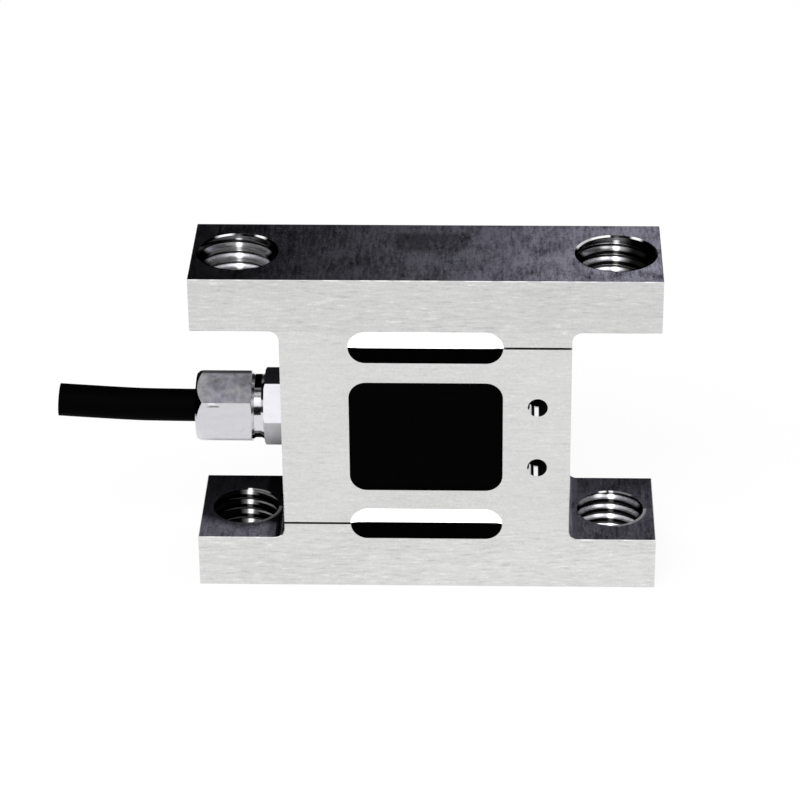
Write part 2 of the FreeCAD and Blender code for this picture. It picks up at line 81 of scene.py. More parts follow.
MOUNTS = {mount["name"]: mount for mount in frame["record"]["mounts"]}
THREAD_ROOT = MOUNTS["top_left_thread"]["dims"]["r_mm"] * MM
HOLE_OFFSET = MOUNTS["top_right_thread"]["pos_m"][0]
BAR_HEIGHT = 8.5 * MM
SMALL_THREAD_DEPTH = 6.2 * MM

# The depth of a metric inside thread in pitches, and the slope of its flanks.
THREAD_DEPTH = 0.541
FLANK_ANGLE = math.radians(30)

# In millimetres, as the finishes reckon: the end of the gland's neck, the column's edge, the beams
# over and under the window, the slots behind them, and where each thread starts.
GLAND_NECK = -24.75
COLUMN_EDGE = 21.75
BEAM_THICKNESS = 3.3
SLOT_HEIGHT = 5.2
THREAD_STARTS = {
    "top_left": -0.15, "top_right": -0.41, "bottom_left": 0.39, "bottom_right": 0.73,
}

WHITE = (1.0, 1.0, 1.0)
CORE_COLOURS = {
    "core_red": (0.55, 0.015, 0.012),
    "core_black": (0.012, 0.012, 0.012),
    "core_white": (0.80, 0.80, 0.77),
    "core_green": (0.01, 0.22, 0.05),
}


# --- sizes and colours that a user would change ---------------------------------------------------

def length_setting(name, description, default):
    return FloatProperty(name=name, description=description, default=default, unit="LENGTH")


def angle_setting(name, description, degrees):
    return FloatProperty(
        name=name, description=description, default=math.radians(degrees), subtype="ANGLE")


def share_setting(name, description, default):
    return FloatProperty(
        name=name, description=description, default=default, min=0.0, max=1.0, subtype="FACTOR")


def colour_setting(name, description, default):
    return FloatVectorProperty(
        name=name, description=description, default=default, size=3, subtype="COLOR")


class CELL_PG_stage(bpy.types.PropertyGroup):
    azimuth: angle_setting("Azimuth", "Turn of the view about the vertical", 2.02)
    elevation: angle_setting("Elevation", "How far the view looks down", 28.66)
    roll: angle_setting("Roll", "Lean of the view about its own line", -0.59)
    distance: length_setting("Distance", "From the camera to the point it looks at", 0.5045)
    aim: FloatVectorProperty(
        name="Aim", description="The point that the camera looks at",
        default=(-0.00417, 0.0, 0.02741), subtype="XYZ", unit="LENGTH")
    focal_length: FloatProperty(
        name="Focal length", description="Lens of the camera, in millimetres",
        default=148.67)
    floor_size: length_setting("Floor size", "Side of the square floor", 6.0)
    floor_shadow: share_setting(
        "Floor shadow", "How strongly the object's shadow shows on the floor", 0.10)
    room_light: FloatProperty(
        name="Room light", description="Strength of the even light from all round", default=0.8)
    key_light: FloatProperty(
        name="Key light", description="Power of the soft box above the camera",
        default=9.0, unit="POWER")


class CELL_PG_metal(bpy.types.PropertyGroup):
    steel: colour_setting("Steel", "Colour of the ground and plated body", (0.72, 0.72, 0.715))
    nickel: colour_setting("Nickel", "Colour of the turned gland", (0.70, 0.695, 0.73))
    ground_roughness: share_setting("Ground roughness", "Roughness of the ground faces", 0.25)
    # Slope of the line that parts the painted shade from the painted light on the slots' walls.
    sight_line: angle_setting(
        "Sight line", "Slope of the line below which the slots' walls stay dark", 28.66)


class CELL_PG_thread(bpy.types.PropertyGroup):
    pitch: length_setting("Pitch", "Pitch of the bars' threads", 1.75 * MM)
    small_pitch: length_setting("Small pitch", "Pitch of the small holes' threads", 0.5 * MM)
    steps: IntProperty(
        name="Steps", description="Facets in each turn of a thread", default=96, min=24)
    mouth_radius: length_setting(
        "Mouth radius", "Radius of the lead-in cone at a bar's outer face", 6.2 * MM)
    lip_radius: length_setting(
        "Lip radius", "Radius of the hole at a bar's inner face", 5.13 * MM)
    lip_height: length_setting(
        "Lip height", "Height of the plain lip at a bar's inner face", 0.12 * MM)


class CELL_PG_cable(bpy.types.PropertyGroup):
    diameter: length_setting("Diameter", "Outside of the sheath", 5.0 * MM)
    wall: length_setting("Wall", "Thickness of the sheath", 0.75 * MM)
    length: length_setting("Length", "Length of the cable's centre line", 45.3 * MM)
    sheath: colour_setting("Sheath", "Colour of the sheath", (0.0007, 0.00065, 0.0007))


class CELL_PG_potting(bpy.types.PropertyGroup):
    colour: colour_setting(
        "Compound", "Colour of the compound in the window", (0.0006, 0.0005, 0.0005))
    creep: length_setting("Creep", "How far the compound climbs the window's wall", 0.22 * MM)
    corner: length_setting("Corner", "Radius of the window's corners", 2.6 * MM)


SETTINGS = {
    "cell_stage": CELL_PG_stage,
    "cell_metal": CELL_PG_metal,
    "cell_thread": CELL_PG_thread,
    "cell_cable": CELL_PG_cable,
    "cell_potting": CELL_PG_potting,
}


# --- shader arithmetic ----------------------------------------------------------------------------

def step(operation, swapped=False):
    """A field's method that adds one Math node, with its two values swapped if need be."""
    def method(self, other=0.0):
        first, second = (other, self) if swapped else (self, other)
        return self.reckon(operation, first, second)
    return method


class Field:
    """A shader's socket that takes part in Python arithmetic: each step adds its Math node."""

    def __init__(self, finish, socket):
        self.finish = finish
        self.socket = socket

    def reckon(self, operation, first, second=0.0, clamp=False):
        outputs = self.finish.node(
            "ShaderNodeMath", {"operation": operation, "use_clamp": clamp}, {0: first, 1: second})
        return outputs["Value"]

    __add__, __radd__ = step("ADD"), step("ADD", swapped=True)
    __sub__, __rsub__ = step("SUBTRACT"), step("SUBTRACT", swapped=True)
    __mul__, __rmul__ = step("MULTIPLY"), step("MULTIPLY", swapped=True)
    __truediv__, __pow__ = step("DIVIDE"), step("POWER")
    __gt__, __lt__, larger = step("GREATER_THAN"), step("LESS_THAN"), step("MAXIMUM")
    __abs__, sine, root = step("ABSOLUTE"), step("SINE"), step("SQRT")

    def clamped(self):
        return self.reckon("ADD", self, 0.0, clamp=True)

    def angle(self, other):
        """The angle, in radians, of the point whose rise is this and whose run is the other."""
        return self.reckon("ARCTAN2", self, other)

    def between(self, low, high, blur):
        """1 from low to high, and 0 outside by more than the blur."""
        return self.eased(low - blur, low) * (1.0 - self.eased(high, high + blur))

    def eased(self, low, high):
        """0 below low, 1 above high, and smooth between them."""
        outputs = self.finish.node(
            "ShaderNodeMapRange", {"interpolation_type": "SMOOTHSTEP"},
            {"Value": self, "From Min": low, "From Max": high})
        return outputs["Result"]


class Finish:
    """A material, or another owner of nodes, and the nodes that make it."""

    def __init__(self, name, owner=None):
        self.material = owner or bpy.data.materials.new(name)
        self.material.use_nodes = True
        self.tree = self.material.node_tree
        self.tree.nodes.clear()
        self.coordinates = self.node("ShaderNodeTexCoord")

    @staticmethod
    def socket(sockets, name):
        if isinstance(name, int):
            return sockets[name]
        for found in sockets:
            if name in (found.identifier, found.name):
                return found
        raise KeyError(name)

    def node(self, kind, settings=None, sockets=None):
        """Add a node with its settings and sockets, and give its outputs as fields."""
        added = self.tree.nodes.new(kind)
        for name, setting in (settings or {}).items():
            setattr(added, name, setting)
        for name, source in (sockets or {}).items():
            target = self.socket(added.inputs, name)
            if isinstance(source, Field):
                self.tree.links.new(source.socket, target)
            elif hasattr(target.default_value, "__len__") and len(target.default_value) == 4:
                target.default_value = (*source[:3], 1.0)
            else:
                target.default_value = source
        outputs = {output.name: Field(self, output) for output in added.outputs}
        outputs.update({output.identifier: Field(self, output) for output in added.outputs})
        return outputs

    def place(self, stretch=(1.0, 1.0, 1.0), turn=(0.0, 0.0, 0.0)):
        """The piece's own coordinates in millimetres, stretched and turned."""
        scale = tuple(factor / MM for factor in stretch)
        outputs = self.node(
            "ShaderNodeMapping", {"vector_type": "POINT"},
            {"Vector": self.coordinates["Object"], "Rotation": turn, "Scale": scale})
        return outputs["Vector"]

    def split(self, vector):
        outputs = self.node("ShaderNodeSeparateXYZ", None, {"Vector": vector})
        return outputs["X"], outputs["Y"], outputs["Z"]

    def speckle(self, stretch, detail=2.0, roughness=0.5, turn=(0.0, 0.0, 0.0)):
        """Noise whose grains are a millimetre, divided by the stretch, from 0 to 1."""
        if isinstance(stretch, float):
            stretch = (stretch, stretch, stretch)
        outputs = self.node(
            "ShaderNodeTexNoise", None,
            {"Vector": self.place(stretch, turn), "Scale": 1.0, "Detail": detail,
             "Roughness": roughness})
        return outputs["Fac"]

    def mix(self, share, first, second):
        """The second colour over the first, by the share."""
        outputs = self.node(
            "ShaderNodeMix", {"data_type": "RGBA"},
            {"Factor_Float": share, "A_Color": first, "B_Color": second})
        return outputs["Result_Color"]

    def shade(self, colour, brightness):
        """The colour times a value."""
        grey = self.node(
            "ShaderNodeCombineColor", None,
            {"Red": brightness, "Green": brightness, "Blue": brightness})["Color"]
        outputs = self.node(
            "ShaderNodeMix", {"data_type": "RGBA", "blend_type": "MULTIPLY"},
            {"Factor_Float": 1.0, "A_Color": colour, "B_Color": grey})
        return outputs["Result_Color"]

    def bump(self, height, distance, strength=1.0):
        outputs = self.node(
            "ShaderNodeBump", None,
            {"Height": height, "Distance": distance, "Strength": strength})
        return outputs["Normal"]

    def seen(self):
        """1 for what the eye sees, by itself or in the metal, and 0 for the light that falls."""
        rays = self.node("ShaderNodeLightPath")
        shiny = rays["Is Glossy Ray"] + rays["Is Transmission Ray"]
        return (rays["Is Camera Ray"] + shiny).clamped()

    def light_up(self, colour):
        """Make it a plain light of the colour."""
        light = self.node("ShaderNodeEmission", None, {"Color": colour, "Strength": 1.0})
        self.node("ShaderNodeOutputMaterial", None, {"Surface": light["Emission"]})
        return self.material

    def accented(self, glow, **sockets):
        """The shader of a metal with bright accents of its own and no sheen over it."""
        return self.surface(
            Emission_Color=glow, Emission_Strength=1.0, Specular_IOR_Level=0.0, **sockets)

    def surface(self, **sockets):
        """The one shader of the piece, with its sockets by name."""
        named = {name.replace("_", " "): source for name, source in sockets.items()}
        shader = self.node("ShaderNodeBsdfPrincipled", None, named)
        self.node("ShaderNodeOutputMaterial", None, {"Surface": shader["BSDF"]})
        return self.material


# --- finishes -------------------------------------------------------------------------------------

def bar_hole(finish):
    """Where a point lies in the bar hole nearest to it: right or left, up or down, out from the
    hole's axis in millimetres, and the sine of its bearing from the hole's far side."""
    x, y, z = finish.split(finish.place())
    right = x > 0.0
    upper = z > MIDDLE_HEIGHT / MM
    off_axis = x - (right * 2.0 - 1.0) * (HOLE_OFFSET / MM)
    radius = (off_axis * off_axis + y * y).root()
    return right, upper, radius, off_axis / radius


def mouth_highlight_arcs(right, bearing):
    """The two painted highlight arcs on the lead-in cone of an upper hole, the longer one on the
    right.
    """
    arcs = bearing.between(-0.46, -0.26, 0.18) + bearing.between(0.46, 0.58, 0.12)
    long_arc = bearing.between(-0.92, -0.40, 0.06) * 0.6 + bearing.between(-0.40, -0.16, 0.06)
    return (arcs + right * long_arc).clamped()


def slot_walls(finish, sight_line):
    """The relief slots' walls: painted shade near the faces, below a sloping line, and painted
    light on the walls behind.
    """
    x, y, z = finish.split(finish.place())
    _, into, _ = finish.split(finish.coordinates["Normal"])
    margin = 0.02
    window_half = (FILL_HIGH.z - FILL_LOW.z) / 2 / MM
    half_length = (FILL_HIGH.x - FILL_LOW.x) / 2 / MM
    level = window_half + BEAM_THICKNESS + SLOT_HEIGHT / 2
    rise = z - MIDDLE_HEIGHT / MM
    in_slot = abs(abs(rise) - level) < SLOT_HEIGHT / 2 + margin
    in_slot = in_slot * (abs(x) < half_length + margin) * (abs(into) < 0.5)
    above_floor = rise - ((rise > 0.0) * (2 * level) - level) + SLOT_HEIGHT / 2
    depth = HALF_DEPTH / MM - abs(y)
    seen_height = above_floor + depth * math.tan(sight_line)
    painted_slot_shade = in_slot * (seen_height < SLOT_HEIGHT / 2 + 0.05)
    return painted_slot_shade, in_slot - painted_slot_shade


def hole_light_and_shade(finish, faces_up):
    """What the bars' holes do to the body: the share of painted shade inside, and the painted
    highlights at the rims.
    """
    _, y, z = finish.split(finish.place())
    right, upper, radius, bearing = bar_hole(finish)
    lower = 1.0 - upper
    root = THREAD_ROOT / MM

    # The lead-in cones of the upper holes carry two painted highlight arcs; the lips below lie in
    # painted shade.
    on_cone = upper * radius.between(root - 0.02, root + 0.26, 0.02)
    on_cone = on_cone * (abs(z - BODY_HIGH.z / MM) < 0.24) * (y > 0.0)
    cone_light = on_cone * mouth_highlight_arcs(right, bearing)
    shade = (radius < root + 0.205) * (1.0 - faces_up * lower) * (1.0 - cone_light)

    # The holes' rims on the lower bar carry painted highlights: white behind, grey in front to the
    # right.
    on_rim = lower * radius.between(5.0, 5.36, 0.14) * (abs(z - BAR_HEIGHT / MM) < 0.14)
    behind = bearing.between(-0.26, -0.14, 0.09) * right + bearing.between(0.02, 0.08, 0.06)
    behind = behind + bearing.between(0.15, 0.6, 0.1) * 0.15
    round_rim = lower * faces_up * radius.between(5.1, 5.45, 0.3)
    before = bearing.eased(-0.3, 0.6) * (0.07 + right * 0.10)
    rim_light = on_rim * (y > 0.0) * behind + round_rim * (y < 0.0) * before
    return shade, cone_light * 0.95 + rim_light


def ground_steel():
    """Ground and plated steel: the grain runs along the front, across the bars and round holes."""
    metal = bpy.context.scene.cell_metal
    finish = Finish("ground_steel")
    x, y, z = finish.split(finish.place())
    across, into, up = finish.split(finish.coordinates["Normal"])
    faces_front = abs(into).eased(0.6, 0.8)
    faces_up = abs(up).eased(0.8, 0.95)
    faces_side = abs(across).eased(0.6, 0.8)
    faces_none = 1.0 - (faces_front + faces_up + faces_side).clamped()
    right = x > 0.0
    left = 1.0 - right
    upper = z > MIDDLE_HEIGHT / MM
    on_bars = abs(z - MIDDLE_HEIGHT / MM).eased(14.0, 19.0)
    on_top_bar = z > (BODY_HIGH.z - BAR_HEIGHT) / MM

    # The grain of the grinding, by the way that a face looks.
    short_streaks = finish.speckle((0.45, 0.5, 2.6), 3.0, 0.62, (0.0, 0.10, 0.0))
    long_streaks = finish.speckle((0.14, 0.5, 1.6), 2.0, 0.5, (0.0, 0.04, 0.0))
    smears = finish.speckle((0.30, 0.5, 1.1), 3.0, 0.6, (0.0, 0.22, 0.0))
    front_grain = short_streaks * 0.5 + long_streaks * 0.25 + smears * 0.25
    bar_grain = finish.speckle((2.0, 0.35, 1.0), 4.0, 0.7)
    bar_smears = finish.speckle((0.26, 0.20, 0.3), 3.0, 0.6)
    side_grain = finish.speckle((1.0, 3.0, 0.3), 2.0, 0.6)
    fine_grain = finish.speckle(2.6, 2.0, 0.6)
    cloud = finish.speckle((0.05, 0.05, 0.09), 2.0, 0.5)
    grain = (
        front_grain * faces_front + bar_grain * faces_up + side_grain * faces_side
        + fine_grain * faces_none
    )
    bright_streaks = short_streaks.eased(0.60, 0.70) * faces_front
    dull_streaks = (1.0 - short_streaks.eased(0.28, 0.40)) * faces_front
    brightness = (
        0.97 + (front_grain - 0.5) * faces_front * (0.34 + on_bars * 0.36)
        + (bar_grain - 0.5) * faces_up * 3.1 + (cloud - 0.5) * 0.14
        + (bright_streaks * 0.10 - dull_streaks * 0.10) * (0.5 + on_bars * 0.7)
        + (bar_smears - 0.5) * faces_up * 1.9 + (fine_grain - 0.5) * (0.20 + faces_up * 1.2)
    ).larger(0.08)

    # A patch of painted shade behind the middle of the top, and the front of the top bar a little
    # darker.
    painted_shade_patch = x.between(-3.5, 4.5, 2.2) * y.between(1.5, 5.5, 2.0) * upper
    painted_shade_patch = painted_shade_patch * faces_up * bar_smears.eased(0.25, 0.6)
    brightness = brightness * (1.0 - painted_shade_patch * 0.6) * (1.0 - on_top_bar * faces_front * 0.05)

    # The ends of the lower bar are painted dark on top as shade: the left one but for a strip along
    # its front.
    border = y + abs(x + HOLE_OFFSET / MM) * -0.40 + cloud * 2.0
    tab_shade = border.eased(-7.2, -3.8) * left * 0.92 + y.eased(1.0, 8.0) * right * 0.4
    tab_shade = (tab_shade + left * x.eased(-25.5, -23.0) * 0.7).clamped()
    brightness = brightness * (1.0 - tab_shade * (1.0 - upper) * faces_up * (up > 0.0))

    # The column's roots over the lower bar lie in painted shade.
    root_shade = abs(x).between(COLUMN_EDGE, COLUMN_EDGE + 1.6, 0.15) * (1.0 - faces_front)
    root_shade = root_shade * (z < BAR_HEIGHT / MM + 1.6) * (z > BAR_HEIGHT / MM + 0.003)

    # The broken edges along the top of the front carry a painted highlight in patches.
    on_edge = abs(into).between(0.55, 0.85, 0.05) * up.between(0.55, 0.85, 0.05)
    on_edge = on_edge * (abs(y) > HALF_DEPTH / MM - 0.2)
    patches = finish.speckle(0.5, 2.0, 0.5).eased(0.45, 0.62)

    hole_shade, hole_light = hole_light_and_shade(finish, faces_up)
    brightness = brightness * (1.0 - root_shade * 0.9) * (1.0 - hole_shade * 0.93)
    brightness = brightness * (1.0 - on_edge * 0.8)

    # The slots' walls carry painted shade below the sloping line and painted light above it.
    painted_slot_shade, painted_slot_light = slot_walls(finish, metal.sight_line)
    colour = finish.shade(tuple(metal.steel), brightness)
    colour = finish.mix(painted_slot_light, colour, (0.9, 0.9, 0.9))
    colour = finish.mix(painted_slot_shade, colour, (0.0005, 0.0005, 0.0005))
    roughness = metal.ground_roughness + (grain - 0.5) * 0.16 - faces_up * 0.05
    height = grain * (1.0 - (painted_slot_shade + painted_slot_light))
    glow = painted_slot_light * 0.85 + on_edge * (0.58 + patches * 0.35) + hole_light
    # A faint painted reflection glows on the right column root's fillet.
    fillet_glow = finish.shade((0.95, 0.92, 1.15), 0.02 + fine_grain * 0.06)
    return finish.accented(
        finish.mix(root_shade * right, finish.shade(WHITE, glow), fillet_glow),
        Base_Color=colour, Metallic=1.0 - painted_slot_shade, Roughness=roughness.clamped(),
        Normal=finish.bump(height, 0.012 * MM, 0.45))


def thread_steel():
    """The bars' cut threads: flanks with painted reflections, crests and roots painted black as
    shade, and a line of painted glints.
    """
    metal = bpy.context.scene.cell_metal
    finish = Finish("thread_steel")
    _, y, z = finish.split(finish.place())
    right, upper, radius, bearing = bar_hole(finish)
    left, lower = 1.0 - right, 1.0 - upper
    root = THREAD_ROOT / MM
    top = BODY_HIGH.z / MM
    lower_bar_top = BAR_HEIGHT / MM
    rings = finish.speckle((0.5, 0.5, 5.0), 3.0, 0.65)
    stains = finish.speckle((0.7, 0.7, 1.2), 3.0, 0.6)

    # The painted light spreads round the far side, and hardly at all in the lower left hole.
    outer_flank = radius.eased(root - 0.75, root - 0.40)
    right_arcs = bearing.between(0.34, 0.66, 0.20) * radius.eased(root - 0.42, root - 0.28) * 0.8
    lower_left = left * lower
    spread = bearing.between(-0.78, 0.72, 0.16)
    spread = spread * (1.0 - right * upper * bearing.eased(0.12, 0.50) * 0.92)
    spread = spread * (1.0 - lower_left) + lower_left * (right_arcs + 0.03)
    # A painted highlight patch on the flanks left of the middle, and the painted glints down the
    # middle.
    patch = bearing.between(-0.28, -0.24, 0.16) * (0.25 + right * 0.75) * (1.0 - lower_left)
    middle = bearing - 0.03 + left * upper * 0.06 - right * lower * 0.035
    glint = 1.0 - abs(middle).eased(0.0, 0.12)
    skirt = 1.0 - abs(middle).eased(0.04, 0.30)

    # The crests and roots are painted black as shade, but for the first turn under a lip of the
    # lower bar.
    shaded_root = radius.eased(root - 0.16, root - 0.06)
    shaded_crest = (1.0 - radius.eased(root - 0.86, root - 0.74)) * (1.0 - left * upper * 0.35)
    below_lip = lower * z.eased(lower_bar_top - 1.00, lower_bar_top - 0.85)
    black = (shaded_root + shaded_crest).clamped() * (1.0 - below_lip * (glint + patch).clamped())
    lit_side = 1.0 - black

    # The lead-in cones are painted dark inside as shade, with one short painted glint and the
    # painted highlight arcs at their edge.
    mouth = z.eased(top - 1.06, top - 0.90)
    cone_light = (z > top - 0.19) * (y > 0.0) * mouth_highlight_arcs(right, bearing)
    in_cone = mouth * (0.10 + z.between(top - 0.84, top - 0.60, 0.08) * 0.75)

    shine = 0.52 + outer_flank * 0.8 + (rings - 0.5) * 1.1 - stains.eased(0.55, 0.75) * 0.3
    shine = shine.larger(0.02) * spread * spread * (1.0 - black * 0.985) * (1.0 - mouth * 0.93)
    glow = glint * (1.0 - black * 0.93) * 1.25 + patch * outer_flank * 0.42 * lit_side
    glow = glow + (skirt * 0.16 + spread * 0.03) * lit_side
    glow = glow * (1.0 - mouth) + glint * in_cone + cone_light * 0.95
    return finish.accented(
        finish.shade(WHITE, glow),
        Base_Color=finish.shade(tuple(metal.nickel), shine),
        Metallic=lit_side * (0.1 + spread * 0.9),
        Roughness=0.24 + (rings - 0.5) * 0.2 + stains * 0.1,
        Normal=finish.bump(rings + stains, 0.02 * MM, 0.5))


def blind_thread_steel():
    """The small blind threads: painted dark as shade, with one painted highlight along the floor of
    each hole.
    """
    finish = Finish("blind_thread_steel")
    x, y, z = finish.split(finish.place())
    pair = MOUNTS["small_threads"]
    half_spacing = pair["dims"]["spacing_y_mm"] / 2
    off_axis = x - pair["pos_m"][0] / MM
    level = z - MIDDLE_HEIGHT / MM
    climb = level - ((level > 0.0) * 2.0 - 1.0) * half_spacing
    depth = y + HALF_DEPTH / MM
    grain = finish.speckle(3.0, 2.0, 0.5)
    # A painted glint along the floor of each hole, and a pale painted reflection at its lower left.
    glint = off_axis.between(-0.42, 0.08, 0.12) * (1.0 - depth.eased(2.3, 2.9))
    pale_reflection = (1.0 - off_axis.eased(-1.05, -0.85)) * (1.0 - depth.eased(2.0, 2.5))
    pale_reflection = pale_reflection * (1.0 - climb.eased(-0.42, -0.22))
    lit = (glint + pale_reflection * 0.72).clamped() * (climb < 0.0)
    return finish.accented(
        finish.shade((0.9, 0.9, 0.9), 0.001 + lit * (0.95 + grain * 0.1)),
        Base_Color=finish.shade((0.002, 0.002, 0.002), 0.6 + grain), Roughness=0.5,
        Normal=finish.bump(grain, 0.01 * MM, 0.3))


def turned_nickel():
    """The gland: turned, plated and bright, with fine rings about its own axis."""
    metal = bpy.context.scene.cell_metal
    finish = Finish("turned_nickel")
    x, y, z = finish.split(finish.place())
    across, into, up = finish.split(finish.coordinates["Normal"])
    nut_start, nut_end = NUT_LOW.x / MM, NUT_HIGH.x / MM
    rise = z - (NUT_LOW.z + NUT_HIGH.z) / 2 / MM
    middle_edge = 3.02
    rings = finish.speckle((11.0, 0.35, 0.35), 2.0, 0.6)
    smears = finish.speckle((0.30, 0.8, 0.8), 3.0, 0.6)
    blots = finish.speckle(0.85, 4.0, 0.62)
    pits = finish.speckle(3.5, 2.0, 0.5).eased(0.60, 0.75)

    # The nut's upper flat carries a cloudy painted reflection in place of its own bright metal,
    # with a line of painted shade where it meets the top edge.
    on_nut = 1.0 - x.eased(nut_end - 0.05, nut_end)
    upper_flat = on_nut * up.between(0.83, 0.91, 0.02) * (into < 0.0) * (across > -0.1)
    ridge_shade = upper_flat * y.eased(-0.42, -0.12)
    bluish = smears.eased(0.35, 0.65) * x.eased(-34.2, -32.5)
    tint = finish.mix(bluish, (0.97, 0.95, 0.98), (0.84, 0.82, 1.0))
    dusk = x.eased(-33.6, -32.6) * rise.eased(3.7, 5.0)
    cloudy_reflection = finish.shade(tint, 0.265 + (blots - 0.5) * 0.5 - dusk * 0.085)

    # The nose turns away from the light: painted black as shade above and between the flats, pale
    # below.
    nose = (x < nut_start + 1.25) * (across < -0.12) * up.eased(0.06, 0.20) * (1.0 - upper_flat)

    # A dent at the nose end of the middle edge, drawn as a painted highlight over painted shade.
    edge = rise - middle_edge
    scuff_highlight = x.between(-32.8, -32.3, 0.5) * edge.between(-0.06, 0.10, 0.12) * on_nut
    scuff_shade = x.between(-33.0, -31.7, 0.5) * edge.between(-0.50, -0.38, 0.14)
    scuff_shade = scuff_shade * blots.eased(0.25, 0.5) * (into < -0.5) * on_nut

    # The neck is painted dark as shade on top and underneath, and the base on top; its lower flat
    # carries a pale painted reflection.
    on_neck = x.between(nut_end - 0.02, GLAND_NECK - 0.02, 0.02)
    neck_shade = on_neck * (up.between(-0.72, -0.50, 0.05) + up.eased(0.84, 0.90))
    on_base = x > GLAND_NECK
    shaded_base_top = on_base * (up > 0.8)
    base_low = on_base * up.between(-0.52, -0.40, 0.03)
    low_light = (0.14 + (rise + 4.4) * 0.05).clamped()

    black = (nose + neck_shade + ridge_shade * 0.5).clamped()
    shine = 0.98 + (rings - 0.5) * 0.06 + (smears - 0.5) * 0.22 * on_nut - pits * 0.10
    shine = shine * (1.0 - upper_flat * 0.75) * (1.0 - scuff_shade * 0.65) * (1.0 - black)
    shine = shine * (1.0 - shaded_base_top * (1.0 - blots * 0.02))
    glow = finish.mix(upper_flat * (1.0 - ridge_shade), (0.0, 0.0, 0.0), cloudy_reflection)
    glow = finish.mix(scuff_highlight * 0.25, glow, (0.95, 0.95, 0.97))
    glow = finish.mix(base_low, glow, finish.shade((1.0, 0.99, 1.02), low_light))
    roughness = 0.08 + on_nut * 0.26 + (smears - 0.4).clamped() * 0.16 + pits * 0.1
    return finish.accented(
        glow, Base_Color=finish.shade(tuple(metal.nickel), shine),
        Metallic=(1.0 - black * 0.95 - shaded_base_top * 0.7).clamped(), Roughness=roughness.clamped(),
        Normal=finish.bump(rings + smears * 0.5, 0.008 * MM, 0.4))


def cast_compound():
    """Black silicone, poured and set: soft ripples, a few specks of dust."""
    potting = bpy.context.scene.cell_potting
    finish = Finish("cast_compound")
    ripples = finish.speckle(0.25, 2.0, 0.5)
    skin = finish.speckle(2.5, 3.0, 0.6)
    dust = finish.speckle(7.0, 1.0, 0.5).eased(0.74, 0.80)
    colour = finish.shade(tuple(potting.colour), 0.8 + skin * 0.4 + dust * 6.0)
    return finish.surface(
        Base_Color=colour, Roughness=(0.42 + skin * 0.12 + dust * 0.3).clamped(),
        Normal=finish.bump(ripples + skin * 0.15, 0.12 * MM, 0.4), Specular_IOR_Level=0.01)


def rubber_sheath():
    """The cable's sheath: extruded, matte, with faint lines along it and a fine grain."""
    cable = bpy.context.scene.cell_cable
    finish = Finish("rubber_sheath")
    lines = finish.speckle((0.12, 3.0, 3.0), 2.0, 0.5)
    grain = finish.speckle(9.0, 2.0, 0.6)
    scuffs = finish.speckle((0.8, 2.2, 2.2), 3.0, 0.6).eased(0.62, 0.8)
    colour = finish.shade(tuple(cable.sheath), 0.85 + grain * 0.3 + scuffs * 1.4)
    return finish.surface(
        Base_Color=colour, Roughness=(0.5 + grain * 0.12 + scuffs * 0.12).clamped(),
        Normal=finish.bump(lines * 0.5 + grain * 0.3, 0.03 * MM, 0.5), Specular_IOR_Level=0.01)


def moulded_rubber():
    """The bush and the sealing ring of the gland."""
    finish = Finish("moulded_rubber")
    grain = finish.speckle(6.0, 3.0, 0.6)
    colour = finish.shade((0.012, 0.012, 0.012), 0.8 + grain * 0.5)
    return finish.surface(
        Base_Color=colour, Roughness=0.5 + grain * 0.2,
        Normal=finish.bump(grain, 0.02 * MM, 0.4), Specular_IOR_Level=0.3)


def insulation(name, colour):
    """Coloured insulation of a core, with a satin skin and slight streaks along it."""
    finish = Finish(name)
    streaks = finish.speckle((0.3, 4.0, 4.0), 2.0, 0.5)
    return finish.surface(
        Base_Color=finish.shade(colour, 0.85 + streaks * 0.3),
        Roughness=0.35 + streaks * 0.15, Normal=finish.bump(streaks, 0.01 * MM, 0.3))


def woven_braid():
    """The screen: tinned wires that cross each other round the cores."""
    finish = Finish("woven_braid")
    x, y, z = finish.split(finish.place())
    turn = (z - CABLE_ROUTE[0][2] / MM).angle(y)
    carriers = 8.0
    pitch = 9.0
    advance = x * (FULL_TURN / pitch * carriers / 2)
    one_way = (turn * carriers + advance).sine()
    other_way = (turn * carriers - advance).sine()
    weave = abs(one_way).larger(abs(other_way))
    tarnish = finish.speckle(2.0, 3.0, 0.6)
    colour = finish.mix(weave.eased(0.2, 0.7), (0.10, 0.09, 0.08), (0.72, 0.69, 0.64))
    return finish.surface(
        Base_Color=finish.shade(colour, 0.85 + tarnish * 0.3), Metallic=1.0,
        Roughness=0.28 + tarnish * 0.15, Normal=finish.bump(weave, 0.06 * MM, 0.8))


def bare_copper():
    """Bare strands of the cores and the gauge leads."""
    finish = Finish("bare_copper")
    strands = finish.speckle((0.8, 9.0, 9.0), 2.0, 0.5)
    tarnish = finish.speckle(3.0, 3.0, 0.6)
    colour = finish.mix(tarnish.eased(0.45, 0.75), (0.86, 0.45, 0.27), (0.52, 0.25, 0.15))
    return finish.surface(
        Base_Color=colour, Metallic=1.0, Roughness=0.24 + strands * 0.2,
        Normal=finish.bump(strands, 0.05 * MM, 0.7))


def soldered_tin():
    """Set solder: bright and slightly wrinkled."""
    finish = Finish("soldered_tin")
    wrinkles = finish.speckle(2.2, 3.0, 0.6)
    return finish.surface(
        Base_Color=finish.shade((0.78, 0.78, 0.77), 0.88 + wrinkles * 0.2), Metallic=1.0,
        Roughness=0.18 + wrinkles * 0.2, Normal=finish.bump(wrinkles, 0.06 * MM, 0.6))


